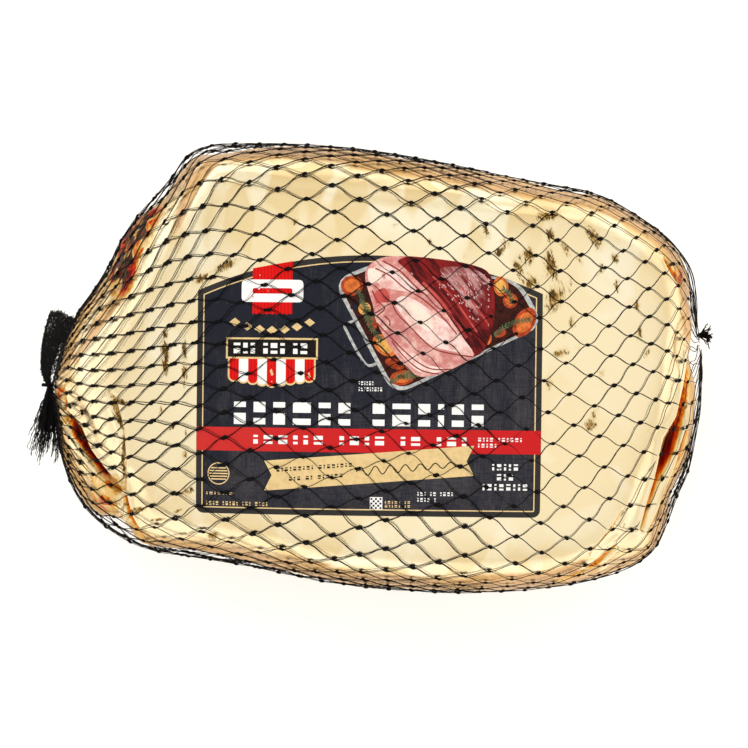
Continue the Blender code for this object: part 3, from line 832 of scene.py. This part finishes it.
def print_picture(inks):
    """The serving picture: a roasting pan with the sliced ham, fruit and herbs."""
    inks["pan_steel"].area(rounded_corners(PAN_CORNERS, 8), 3, [rounded_corners(inset(PAN_CORNERS, 1.5), 7)])
    inks["pan_dark"].area(rounded_corners(inset(PAN_CORNERS, 1.2), 7), 2)
    inks["pan_steel"].stroke(soft_line([beside(PAN_CORNERS, 1, share, reach) for share, reach in HANDLE]), 1.1, 3)
    tray = inset(PAN_CORNERS, TRAY_MARGIN)
    for edge, share, half_width, half_height, turn, rims in FRUIT:
        x, y = beside(tray, edge, share)
        for k, ink in enumerate(rims.split()):
            inks[ink].oval(x, y, half_width * (1 - 0.28 * k), half_height * (1 - 0.32 * k), 4 + k, turn)
    for edge, start, end, bow in SPRIGS:
        line = [beside(tray, edge, start + (end - start) * t, bow * math.sin(math.pi * t)) for t in (0, 0.33, 0.67, 1)]
        sprig(inks["herb"], line, 6, 2.1, 0.6)
    inks["flesh"].area(soft_line(HAM_OUTLINE, closed=True), 8)
    crust = soft_line(HAM_OUTLINE[2:10]) + soft_line(CUT_EDGE)[::-1][1:-1]
    inks["crust"].area(crust, 9)
    inks["glaze"].area(soft_line(GLAZE_OUTLINE, closed=True), 10)
    for k, reach in enumerate((1.2, 3.4, 6.0, 8.8, 11.6)):
        line = soft_line([(x + 0.84 * reach, y + 0.5 * reach) for x, y in CUT_EDGE[3 + k // 3:7]])
        inks["crust_line" if k % 2 else "raw"].stroke(line, 0.7 if k else 1.1, 11)
    for k, (outline, ink) in enumerate(SLICES):
        inks[ink].area(soft_line(outline, closed=True), 9 + 0.2 * k)
    for line in SLICE_EDGES:
        inks["slice_edge"].stroke(soft_line(line), 0.5, 11)
    for _ in range(150):
        x, y = random.gauss(38, 6.5), random.gauss(38, 5.5)
        if y < 58 - 0.9 * x + 6:
            continue
        inks["glint"].oval(min(x, 47.5), min(y, 45), random.uniform(0.2, 0.95), random.uniform(0.12, 0.26), 12, turn=random.uniform(-75, -35), sides=6)


RIBBON_MIDDLE = Vector((0.5, -33))
RIBBON_HALF_LENGTH, RIBBON_HALF_HEIGHT, RIBBON_NOTCH = 42, 6, 3
RIBBON_SLOPE = 1 / 12


def on_ribbon(along, across):
    return tuple(RIBBON_MIDDLE + Vector((along, RIBBON_SLOPE * along + across)))


def print_ribbon(inks):
    """The swallow-tailed ribbon, with rows of blocks and a flourish."""
    tail = [(RIBBON_HALF_LENGTH, 1), (RIBBON_HALF_LENGTH - RIBBON_NOTCH, 0), (RIBBON_HALF_LENGTH, -1)]
    corners = [(-along, across) for along, across in tail] + tail[::-1]
    inks["straw"].area([on_ribbon(along, RIBBON_HALF_HEIGHT * across) for along, across in corners], 5)
    for start, across, rhythm in ((-37, 2, "212122121-21221212"), (-32, -2, "212-21-212122")):
        blocks(inks["dark"], *on_ribbon(start, across), 1.5, 0.6, rhythm, 6, RIBBON_SLOPE)
    swing = [on_ribbon(-5 + 42 * t, 1.9 * math.sin(44 * t) * (1 - 0.5 * t) - 1) for t in np.linspace(0, 1, 90)]
    inks["dark"].stroke(swing, 0.42, 6)


# Stacks of rows: ink, left end, middle of the first row, height and part of a block, then each row's rhythm.
STACKS = (
    ("white", -54, -11.5, 9, 2.4, ("222322-232122",)),
    ("white", -46, -22, 3.5, 1.8, ("122112-1212-12-121",)),
    ("white", 44, -21, 1.5, 0.6, ("2112-121221", "12121")),
    ("white", 20, -43, 1.5, 0.5, ("121-12-1221", "1212-1")),
    ("white", -4, 1, 1.5, 0.4, ("121121", "121211212")),
    ("cream", -65, -44, 1, 0.6, ("1212112",)),
    ("cream", -65, -48, 1.5, 0.5, ("1212-12121-121-2121",)),
    ("cream", 7, -46.5, 1, 0.5, ("12121-12", "21121-12")),
)
CORNER_STACK_X = 55.5  # middle of the three centred rows at the label's lower right
BAND_Y, BAND_HALF_HEIGHT = -22, 4.75
SEAL_MIDDLE, SEAL_RADIUS = (-60, -36), 4.5
CODE_LEFT, CODE_BOTTOM, CODE_SIZE, CODE_MARGIN = 1, -49.5, 5, 0.25


def inset(points, amount):
    """The same corners, drawn in towards their middle."""
    middle = sum((Vector(p) for p in points), Vector((0, 0))) / len(points)
    return [tuple(Vector(p) + (middle - Vector(p)).normalized() * amount * 1.35) for p in points]


def print_label(surface):
    finishes = {
        "cream": plain_ink("ink_cream_gold", CREAM_GOLD), "white": plain_ink("ink_white", WHITE, deeper=0.96),
        "red": band_ink(), "bright_red": ribbed_ink(), "dark": plain_ink("ink_dark", linear(24, 19, 16)),
        "straw": plain_ink("ink_straw", linear(231, 200, 141)), "pan_steel": plain_ink("ink_pan_steel", linear(196, 196, 192), deeper=0.5),
        "pan_dark": plain_ink("ink_pan_dark", linear(64, 22, 14), deeper=0.3), "flesh": flesh_ink("ink_flesh", (204, 128, 120), (238, 188, 176)),
        "palest": flesh_ink("ink_pale_slice", (244, 216, 206), (222, 166, 156)), "rosy": flesh_ink("ink_rosy_slice", (198, 124, 118), (234, 184, 172)),
        "fat": flesh_ink("ink_fat", (248, 226, 208), (240, 200, 186)), "raw": flesh_ink("ink_raw_edge", (196, 84, 78), (150, 44, 42)),
        "slice_edge": plain_ink("ink_slice_edge", linear(150, 60, 58), deeper=0.6), "crust": crust_ink("ink_crust", (134, 26, 26), (52, 6, 8)),
        "crust_line": crust_ink("ink_crust_line", (70, 6, 10), (150, 46, 44)), "glaze": crust_ink("ink_glaze", (112, 22, 24), (196, 140, 136)),
        "glint": plain_ink("ink_glint", linear(222, 180, 176), deeper=0.7), "brick": plain_ink("ink_brick", linear(186, 72, 34), deeper=0.4), "tangerine": plain_ink("ink_tangerine", linear(224, 116, 54), deeper=0.55),
        "honey": plain_ink("ink_honey", linear(236, 176, 92), deeper=0.7), "herb": plain_ink("ink_herb", linear(92, 104, 70), deeper=0.35),
    }
    inks = {name: Print() for name in finishes}
    inks["cream"].area(arched_outline(2.3), 1, [arched_outline(2.75)])
    side = LABEL_HALF_WIDTH - 0.1
    inks["red"].box(-side, BAND_Y - BAND_HALF_HEIGHT, side, BAND_Y + BAND_HALF_HEIGHT, 3)
    print_crest(inks)
    print_picture(inks)
    print_ribbon(inks)
    for ink, left, middle, height, part, rows in STACKS:
        for k, rhythm in enumerate(rows):
            blocks(inks[ink], left, middle - k * LINE_SPACING * height, height, part, rhythm, 4)
    height, part = 2.5, 0.85
    for k, rhythm in enumerate(("12112", "212", "12122112")):
        left = CORNER_STACK_X - row_width(rhythm, part) / 2
        blocks(inks["white"], left, -32 - k * LINE_SPACING * height, height, part, rhythm, 4)
    inks["white"].box(CODE_LEFT, CODE_BOTTOM, CODE_LEFT + CODE_SIZE, CODE_BOTTOM + CODE_SIZE, 3)
    pitch = (CODE_SIZE - 2 * CODE_MARGIN) / 5
    for k in range(13):
        x, y = CODE_LEFT + CODE_MARGIN + pitch * (2 * k % 5), CODE_BOTTOM + CODE_MARGIN + pitch * (2 * k // 5)
        inks["dark"].box(x, y, x + 0.85 * pitch, y + 0.85 * pitch, 4)
    x, y = SEAL_MIDDLE
    inks["cream"].oval(x, y, SEAL_RADIUS, SEAL_RADIUS, 3, hole=0.42)
    for bar in range(-2, 3):
        rise = bar * SEAL_RADIUS / 4
        half = math.sqrt((0.84 * SEAL_RADIUS) ** 2 - rise**2)
        inks["cream"].box(x - half, y + rise - 0.25, x + half, y + rise + 0.25, 3)
    for name, ink in inks.items():
        ink.lay_on(surface, "print_" + name, finishes[name], LABEL_LIFT)


# --- The net ----------------------------------------------------------------------------------------------
BAR = 11.1 * MM  # length of one side of the net's mesh
CELLS_AROUND = 38
NET_GAP = 0.75 * MM
STRAND = 0.145 * MM  # radius
MERGED_X = 45 * MM  # from here to the cut end the two layers lie exactly together and are made once
PAIRED_ROWS = 4
TIE_DROP = 0.13  # the net closes a little below the shank's middle
TIE = Vector((-133.0 * MM, -6.5 * MM, 53 * MM))
KNOT = Vector((141.0 * MM, 14.0 * MM, 53 * MM))


def crowding(share):
    """How much closer than even the rows lie on top, from the tie (0) to the far knot (1)."""
    return float(np.interp(share, (0.0, 0.1, 0.2, 0.3, 0.45, 0.62, 1.0), (0.05, 0.1, 0.34, 0.38, 0.22, 0.07, 0.0)))


def twist(share):
    """How far the rows have wound round the pack, in turns."""
    return float(np.interp(share, (0.08, 0.5), (0.0, 0.036)))


def net_rings(surface):
    """Rings of knots from the tie to the far knot, each evenly spaced round the pack, with the mesh's own pitch."""
    axis = (KNOT - TIE).normalized()
    side = axis.cross(UP).normalized()
    over = side.cross(axis)
    latitudes, sides = 160, 120

    def loop(angle):
        points = []
        for k in range(sides):
            turn = 2 * math.pi * k / sides
            round_ = side * math.sin(turn) * BODY_BOX.y - over * math.cos(turn) * BODY_BOX.z
            low = UP * (-TIE_DROP * max(math.cos(angle), 0) ** 2)
            way = (low - axis * math.cos(angle)) * BODY_BOX.x + round_ * math.sin(angle)
            points.append(surface.ray_cast(BODY_MIDDLE, way.normalized())[0])
        return np.array(points)

    loops = [loop(math.pi * (i + 0.5) / latitudes) for i in range(latitudes)]
    girths = np.array([np.linalg.norm(np.roll(l, -1, axis=0) - l, axis=1).sum() for l in loops])
    steps = np.array([np.linalg.norm(b - a, axis=1).mean() for a, b in zip(loops, loops[1:])])
    reach = np.concatenate([[0], np.cumsum(steps)])
    places, here = [], 0.0
    while here < reach[-1]:
        places.append(here)
        half_cell = np.interp(here, reach, girths) / CELLS_AROUND / 2 * (1 - crowding(here / reach[-1]))
        here += math.sqrt(BAR**2 - min(half_cell, BAR * 0.93) ** 2)
    places = np.array(places) * reach[-1] / (places[-1] + 0.5 * BAR)
    rings = []
    for i, place in enumerate(places):
        at = np.interp(place, reach, np.arange(latitudes))
        low = min(int(at), latitudes - 2)
        ring = loops[low] + (loops[low + 1] - loops[low]) * (at - low)
        around = np.linalg.norm(np.roll(ring, -1, axis=0) - ring, axis=1)
        total = np.concatenate([[0], np.cumsum(around)])
        closed = np.vstack([ring, ring[:1]])
        round_ = (np.arange(CELLS_AROUND) + 0.5 * (i % 2)) / CELLS_AROUND
        drawn_up = crowding(place / reach[-1]) * np.sin(2 * math.pi * round_) / (2 * math.pi)
        wanted = (round_ + drawn_up + twist(place / reach[-1])) % 1 * total[-1]
        rings.append(np.stack([np.interp(wanted, total, closed[:, k]) for k in range(3)], axis=1))
    return np.array(rings)


def bars_of(rings_count):
    """The knots each bar joins, as flat indices: every knot meets two knots of the next ring."""
    first, second = [], []
    for i in range(rings_count - 1):
        for j in range(CELLS_AROUND):
            for step in ((0, -1) if i % 2 == 0 else (0, 1)):
                first.append(i * CELLS_AROUND + j)
                second.append((i + 1) * CELLS_AROUND + (j + step) % CELLS_AROUND)
    return np.array(first), np.array(second)


def settle_net(knots, surface, rounds):
    """Lets the net find its shape: bars keep their length, and knots rest on the foil or bridge its hollows."""
    ring_count = len(knots)
    flat = knots.reshape(-1, 3)
    first, second = bars_of(ring_count)
    meets = np.zeros(len(flat))
    np.add.at(meets, first, 1)
    np.add.at(meets, second, 1)
    held = np.zeros(len(flat), bool)
    held[:CELLS_AROUND] = held[-CELLS_AROUND:] = True
    for _ in range(rounds):
        across = flat[second] - flat[first]
        length = np.linalg.norm(across, axis=1)
        stretch = (length - BAR) / np.maximum(length, 1e-9)
        stretch = np.where(stretch > 0, stretch, 0.35 * stretch)
        pull = across * stretch[:, None] * 0.5
        moved = np.zeros_like(flat)
        np.add.at(moved, first, pull)
        np.add.at(moved, second, -pull)
        moved /= (meets * 0.5)[:, None]
        moved[held] = 0
        flat = flat + moved
        flat = onto(surface, flat, NET_GAP)
    return flat.reshape(ring_count, CELLS_AROUND, 3)


def onto(surface, points, gap, cling=0.3):
    """Keeps points at least the gap outside the surface, and draws the ones that stand off it gently back."""
    result = points.copy()
    for i, point in enumerate(points):
        place, normal, _, _ = surface.find_nearest(Vector(point))
        height = (Vector(point) - place).dot(normal)
        if height < gap:
            result[i] = point + np.array(normal) * (gap - height)
        elif cling:
            result[i] = point - np.array(normal) * min((height - gap) * cling, 0.4 * MM)
    return result


def net_material():
    finish = Finish("black_net")
    twist = finish.noise(finish.place(), 2500, 2.0)
    finish.set(Base_Color=finish.mix(twist, NET_BLACK, linear(20, 18, 18)), Roughness=0.6, Specular_IOR_Level=0.08)
    return finish.material


def make_net(surface, material):
    """The net is a doubled tube: its two layers lie together over the cut end and part towards the shank."""
    knots = settle_net(net_rings(surface), surface, 30)
    parting = np.zeros_like(knots)
    for i, ring in enumerate(knots):
        for j, knot in enumerate(ring):
            apart = 0.16 + 1.0 * float(ease(knot[0], 0.03, -0.09)) + 0.8 * float(ease(knot[1], -0.02, -0.07))
            parting[i, j] = apart * MM * (np.array(noise.noise_vector(Vector(knot) * 22)) * (1.7, 1.0, 0.6) + (0.75, 0.2, 0))
    slack = np.array([[ease(k[0], 0.125, 0.137) * (noise.noise(Vector(k) * 110) + 0.4) for k in ring] for ring in knots])
    knots = knots + slack[..., None] * (1.8 * MM, 0, 0) * (np.abs(knots[..., 1:2] - KNOT.y) > 6 * MM)
    net_layer("net_inner", knots, surface, material, STRAND * 1.05)
    other = knots + parting
    other = onto(surface, other.reshape(-1, 3), NET_GAP * 1.5, 0).reshape(knots.shape)
    net_layer("net_outer", other, surface, material, STRAND * 0.8, MERGED_X)


def net_layer(name, knots, surface, material, radius, until=1.0):
    """One layer of the net, up to this X: strands that leave each knot along its row and swing to the next row's."""
    count = len(knots)
    ahead = np.zeros_like(knots)
    for i in range(count):
        before, after = knots[max(i - 1, 0)], knots[min(i + 1, count - 1)]
        shift = -1 if i % 2 == 0 else 1
        nearer = (after + np.roll(after, -shift, axis=0)) / 2
        farther = (before + np.roll(before, -shift, axis=0)) / 2
        ahead[i] = nearer - farther
    ahead /= np.maximum(np.linalg.norm(ahead, axis=2, keepdims=True), 1e-9)

    first, second = bars_of(count)
    flat, way = knots.reshape(-1, 3), ahead.reshape(-1, 3)
    # Towards the far knot the closed-up meshes lie two and two together.
    drawn_in = first >= (count - PAIRED_ROWS) * CELLS_AROUND
    kept = (flat[first][:, 0] < until) & ~(drawn_in & (np.arange(len(first)) % 2 == 1))
    first, second = first[kept], second[kept]
    a, b = flat[first], flat[second]
    reach = np.linalg.norm(b - a, axis=1, keepdims=True)
    # No two bars swing alike: some run nearly straight, some leave the knot late.
    swing = np.array([random.uniform(0.27, 0.5) for _ in range(len(a))])[:, None]
    straight = (b - a) / np.maximum(reach, 1e-9)
    leave, arrive = ((np.maximum(np.sum(w * straight, axis=1), 0.15))[:, None] for w in (way[first], way[second]))
    p1, p2 = a + way[first] * reach * swing * leave, b - way[second] * reach * swing * arrive
    curve = [((1 - t) ** 3) * a + 3 * t * (1 - t) ** 2 * p1 + 3 * t * t * (1 - t) * p2 + t**3 * b for t in np.linspace(0, 1, 8)]
    curve = np.stack(curve, axis=1)
    shape = curve.shape
    curve = onto(surface, curve.reshape(-1, 3), 0.4 * MM, 0)
    curve[:, 2] = np.maximum(curve[:, 2], 0.7 * MM)
    curve = curve.reshape(shape)
    threads(name, curve, radius, material)

    lumps = bmesh.new()
    tied = (flat[:, 0] < until) & (np.arange(len(flat)) < (count - PAIRED_ROWS) * CELLS_AROUND)
    for point, along in zip(flat[tied], way[tied]):
        point = (*point[:2], max(point[2], 0.7 * MM))
        _, normal, _, _ = surface.find_nearest(Vector(point))
        x = Vector(along)
        z = (normal - x * normal.dot(x)).normalized()
        turn = Matrix((x, z.cross(x), z)).transposed().to_4x4() @ Matrix.Rotation(random.uniform(-0.4, 0.4), 4, "Z")
        size = random.uniform(0.85, 1.15)
        place = Matrix.Translation(Vector(point)) @ turn @ Matrix.Diagonal((1.2 * size * MM, 0.85 * size * MM, 0.58 * MM, 1))
        bmesh.ops.create_icosphere(lumps, subdivisions=1, radius=1.0, matrix=place)
    into_object(name + "_knots", lumps, material, "black_net")


# --- The gathered ends of the net -------------------------------------------------------------------------
def threads(name, lines, radius, material, *nodes, sides=0):
    """Fine threads through the given lines of points, as one mesh."""
    data = bpy.data.curves.new(name, "CURVE")
    data.dimensions = "3D"
    data.bevel_depth = radius
    data.bevel_resolution = sides
    data.use_fill_caps = True
    for line in lines:
        spline = data.splines.new("POLY")
        spline.points.add(len(line) - 1)
        spline.points.foreach_set("co", np.hstack([line, np.ones((len(line), 1))]).ravel())
    thread = bpy.data.objects.new(name, data)
    bpy.context.scene.collection.objects.link(thread)
    mesh = bpy.data.meshes.new_from_object(thread.evaluated_get(bpy.context.evaluated_depsgraph_get()))
    bpy.data.objects.remove(thread)
    return finish_piece(name, mesh, material, "black_net", *nodes)


def rounded(points, count):
    """count places on a smooth line through the points (mm), as an array in metres."""
    knots = np.array(points, float)
    t = np.linspace(0, len(knots) - 1, count)
    i = np.clip(t.astype(int), 0, len(knots) - 2)
    f = (t - i)[:, None]
    before, after = knots[np.maximum(i - 1, 0)], knots[np.minimum(i + 2, len(knots) - 1)]
    a, b = knots[i], knots[i + 1]
    slope_a, slope_b = (b - before) / 2, (after - a) / 2
    return MM * ((2 * f**3 - 3 * f**2 + 1) * a + (f**3 - 2 * f**2 + f) * slope_a + (3 * f**2 - 2 * f**3) * b + (f**3 - f**2) * slope_b)


def wavering(line, size, waves):
    """The line with a thread's small random waves across it."""
    t = np.linspace(0, 1, len(line))
    result = line.copy()
    for axis in range(3):
        phase = random.uniform(0, 2 * math.pi)
        result[:, axis] += size * np.sin(2 * math.pi * waves * random.uniform(0.7, 1.3) * t + phase) * np.sin(math.pi * np.clip(t, 0, 1)) ** 0.3
    return result


def zigzagging(line, size, teeth):
    """The line as a strand of closed-up mesh: from knot to knot, out to one side and then the other."""
    t = np.linspace(0, 1, len(line)) * teeth + random.random()
    saw = np.abs((t % 1) - 0.5) * 4 - 1
    turned = random.uniform(0, math.pi)
    along = np.gradient(line, axis=0)
    across = np.cross(along, (math.cos(turned), 0.3, math.sin(turned)))
    across /= np.maximum(np.linalg.norm(across, axis=1, keepdims=True), 1e-9)
    return line + across * (saw * size * random.uniform(0.6, 1.3))[:, None]


def make_tied_end(surface, material):
    """The bunched net at the shank: folded up against the foil's side, tied, with its frayed tail hanging down."""
    tie = np.array((-135.6, -7.5, 53.0))
    bunch = []
    for _ in range(135):
        a = random.uniform(0, 1)  # 0 along the outer edge, 1 against the foil
        deep = random.gauss(0, 1) * 2.2
        top = 31 - 5.5 * max(a - 0.45, 0) - 8 * random.random() ** 3
        rise = [tie + (x + reach * a, y, z + deep * spread) for x, reach, y, z, spread in (
            (0.4, 0.8, 0, 0, 0.3), (-2.0, 3.4, 6, 2, 0.8), (-2.2, 6.2, 13, 3, 1.0), (-1.2, 8.6, 21, 4, 1.1))]
        crown = [tie + (0.8 + 9.4 * a, top - 2, 4 + deep), tie + (1.8 + 9.6 * a, top, 4 + deep), tie + (2.8 + 9.2 * a, top - 2, 3 + deep)]
        back = [tie + (x + reach * (1 - a), y, z + deep) for x, reach, y, z in ((0.4, 8.2, 18, 3), (-1.0, 5.8, 11, 2), (-0.6, 2.4, 4, 1))]
        line = rounded(rise + crown + back, 56)
        line = zigzagging(line[:random.randrange(30, 56)], 1.3 * MM, random.uniform(12, 17))
        bunch.append(onto(surface, line, 0.6 * MM, 0))
    tail = []
    for _ in range(210):
        reach = random.uniform(0.35, 1.0)
        out, deep = np.clip(random.gauss(0, 1), -2, 1.6), random.gauss(0, 1)
        down = -7 - 27.5 * reach
        path = [tie + (0.6, 2, 0), tie + (1.0 + 0.8 * out, -3, 0.6 * deep), tie + (0.6 + 2.2 * out, down * 0.42, -2 + 1.6 * deep),
                tie + (-0.6 + 3.0 * out, down * 0.75, -4 + 2.4 * deep), tie + (-2.4 + 3.4 * out, down, -5 + 3.0 * deep)]
        line = zigzagging(rounded(path, 22), 0.6 * MM, random.uniform(4, 8))
        line[:, 0] = np.clip(line[:, 0], -145.2 * MM, -130.0 * MM)
        tail.append(line[:random.randrange(14, 23)])
    threads("net_bunch", bunch, 0.13 * MM, material, "net_gather").visible_glossy = False
    threads("net_tail", tail, 0.14 * MM, material, "net_gather")
    turns = np.linspace(0, 2 * math.pi * 3, 70)
    wrap = np.stack([tie[0] + 2.2 * np.cos(turns), tie[1] + 1.0 - 0.4 * turns / 6.28, tie[2] + 2.2 * np.sin(turns)], axis=1) * MM
    threads("net_tie", [wrap], 0.3 * MM, material, "net_gather", sides=1)


def make_end_knot(material):
    """The small tuft where the net is closed over the cut end."""
    tufts = []
    base = np.array((138.5, 14.0, 53.0))
    for _ in range(36):
        out = np.array((random.uniform(3.0, 6.6), random.gauss(0, 2.6), random.gauss(0, 2.6)))
        path = [base + (0, 0, 0), base + out * (0.5, 0.3, 0.3), base + out * (0.85, 0.8, 0.8) + (0, 0, 0.5), base + out]
        tufts.append(wavering(rounded(path, 9), 0.4 * MM, 1.5))
    threads("end_tuft", tufts, 0.22 * MM, material, "end_knot")


def main():
    set_up_studio()
    skin = foil_blank()
    blank_surface = tree_of(skin)
    press_wrinkles(skin)
    foil_surface = tree_of(skin)
    into_object("foil", skin, gold_foil(), "gold_foil", "wrapped_ham")

    stock = Print()
    stock.area(arched_outline(), 0)
    label = stock.lay_on(foil_surface, "label_sheet", label_stock(), LABEL_LIFT, 0.3 * MM)
    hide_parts("label")
    panel = Print()
    panel.area(arched_outline(2.75), 1)
    panel.lay_on(foil_surface, "label_panel", denim_ink(), LABEL_LIFT)
    print_label(foil_surface)

    net = net_material()
    make_net(blank_surface, net)
    make_tied_end(blank_surface, net)
    make_end_knot(net)


main()
